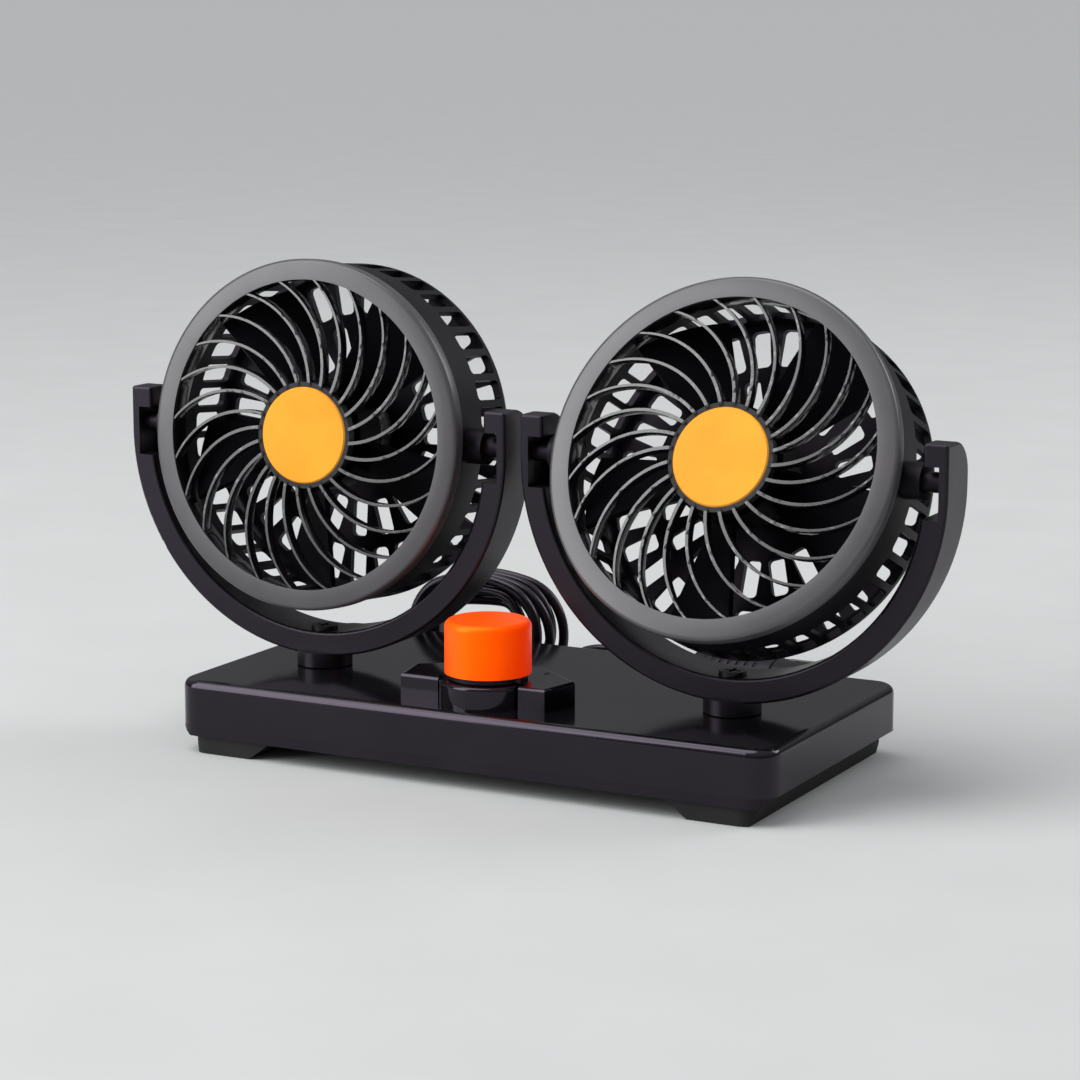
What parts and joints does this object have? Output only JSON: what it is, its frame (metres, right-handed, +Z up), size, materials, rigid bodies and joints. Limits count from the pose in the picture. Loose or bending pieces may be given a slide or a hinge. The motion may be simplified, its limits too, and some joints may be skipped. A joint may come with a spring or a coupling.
{
  "type": "dual head car fan",
  "caption": "Desk or dashboard fan with guarded heads that tilt in U yokes and swivel on a low base with a rotary switch knob, a tied cord and a vehicle socket plug.",
  "frame": {"origin": "on the floor, under the middle of the base", "axes": "+X along the base to the right as seen from the front, -Y the front, +Z up"},
  "size_m": [0.254, 0.1168, 0.139],
  "materials": {
    "gloss_black": "polished",
    "gloss_yoke": "satin",
    "satin_black": "satin",
    "housing_black": "satin",
    "rotor_black": "matt",
    "guard_black": "smooth",
    "ring_grey": "satin",
    "cap_orange": "smooth",
    "knob_orange": "smooth",
    "rubber_black": "matt",
    "cord_black": "satin",
    "black_steel": "satin",
    "steel": "plain"
  },
  "bodies": {
    "base": {"base_cover": "gloss_black", "base_tray": "satin_black", "base_screws": "black_steel", "foot_left": "rubber_black", "foot_right": "rubber_black", "switch_plinth": "gloss_black", "switch_body": "satin_black", "switch_nut": "steel", "strain_relief": "satin_black", "cord_lead": "cord_black", "cord_hank": "cord_black", "cord_tie": "cord_black", "cord_tail": "cord_black", "plug_relief": "satin_black", "plug_body": "satin_black", "plug_nose": "satin_black", "plug_contacts": "steel"},
    "knob": {"knob": "knob_orange", "knob_skirt": "satin_black", "switch_shaft": "steel"},
    "plug_tip": {"plug_tip": "steel"},
    "left_swivel": {"left_yoke": "gloss_yoke", "left_swivel_screw": "black_steel", "left_swivel_washer": "steel", "left_swivel_nut": "steel"},
    "left_head": {"left_front_ring": "ring_grey", "left_guard_grille": "guard_black", "left_hub_cap": "cap_orange", "left_rear_housing": "housing_black", "left_pivot_pins": "housing_black", "left_motor_can": "steel", "left_motor_end": "housing_black", "left_motor_screws": "black_steel"},
    "left_wheel": {"left_fan_rotor": "rotor_black", "left_motor_shaft": "steel"},
    "right_swivel": {"right_yoke": "gloss_yoke", "right_swivel_screw": "black_steel", "right_swivel_washer": "steel", "right_swivel_nut": "steel"},
    "right_head": {"right_front_ring": "ring_grey", "right_guard_grille": "guard_black", "right_hub_cap": "cap_orange", "right_rear_housing": "housing_black", "right_pivot_pins": "housing_black", "right_motor_can": "steel", "right_motor_end": "housing_black", "right_motor_screws": "black_steel"},
    "right_wheel": {"right_fan_rotor": "rotor_black", "right_motor_shaft": "steel"}
  },
  "joints": [
    {"name": "left_swivel_turn", "type": "hinge", "parent": "base", "child": "left_swivel", "pos_m": [-0.0647, -0.0094, 0.021], "axis": [0, 0, 1], "range_deg": [-170, 170]},
    {"name": "left_head_tilt", "type": "hinge", "parent": "left_swivel", "child": "left_head", "pos_m": [-0.0647, -0.0094, 0.0883], "axis": [-1, 0, 0], "range_deg": [-65.25, 54.75]},
    {"name": "left_wheel_spin", "type": "hinge", "parent": "left_head", "child": "left_wheel", "pos_m": [-0.0647, -0.0094, 0.0883], "axis": [0, -0.9958, 0.0915], "continuous": true},
    {"name": "right_swivel_turn", "type": "hinge", "parent": "base", "child": "right_swivel", "pos_m": [0.0647, -0.0094, 0.021], "axis": [0, 0, 1], "range_deg": [-170, 170]},
    {"name": "right_head_tilt", "type": "hinge", "parent": "right_swivel", "child": "right_head", "pos_m": [0.0647, -0.0094, 0.0883], "axis": [-1, 0, 0], "range_deg": [-82.5, 37.5]},
    {"name": "right_wheel_spin", "type": "hinge", "parent": "right_head", "child": "right_wheel", "pos_m": [0.0647, -0.0094, 0.0883], "axis": [0, -0.9239, 0.3827], "continuous": true},
    {"name": "knob_turn", "type": "hinge", "parent": "base", "child": "knob", "pos_m": [0, -0.029, 0.0293], "axis": [0, 0, -1], "range_deg": [0, 120]},
    {"name": "plug_tip_press", "type": "slide", "parent": "base", "child": "plug_tip", "axis": [-1, 0, 0], "range_m": [0, 0.003], "stiffness_N_per_m": 1500}
  ]
}
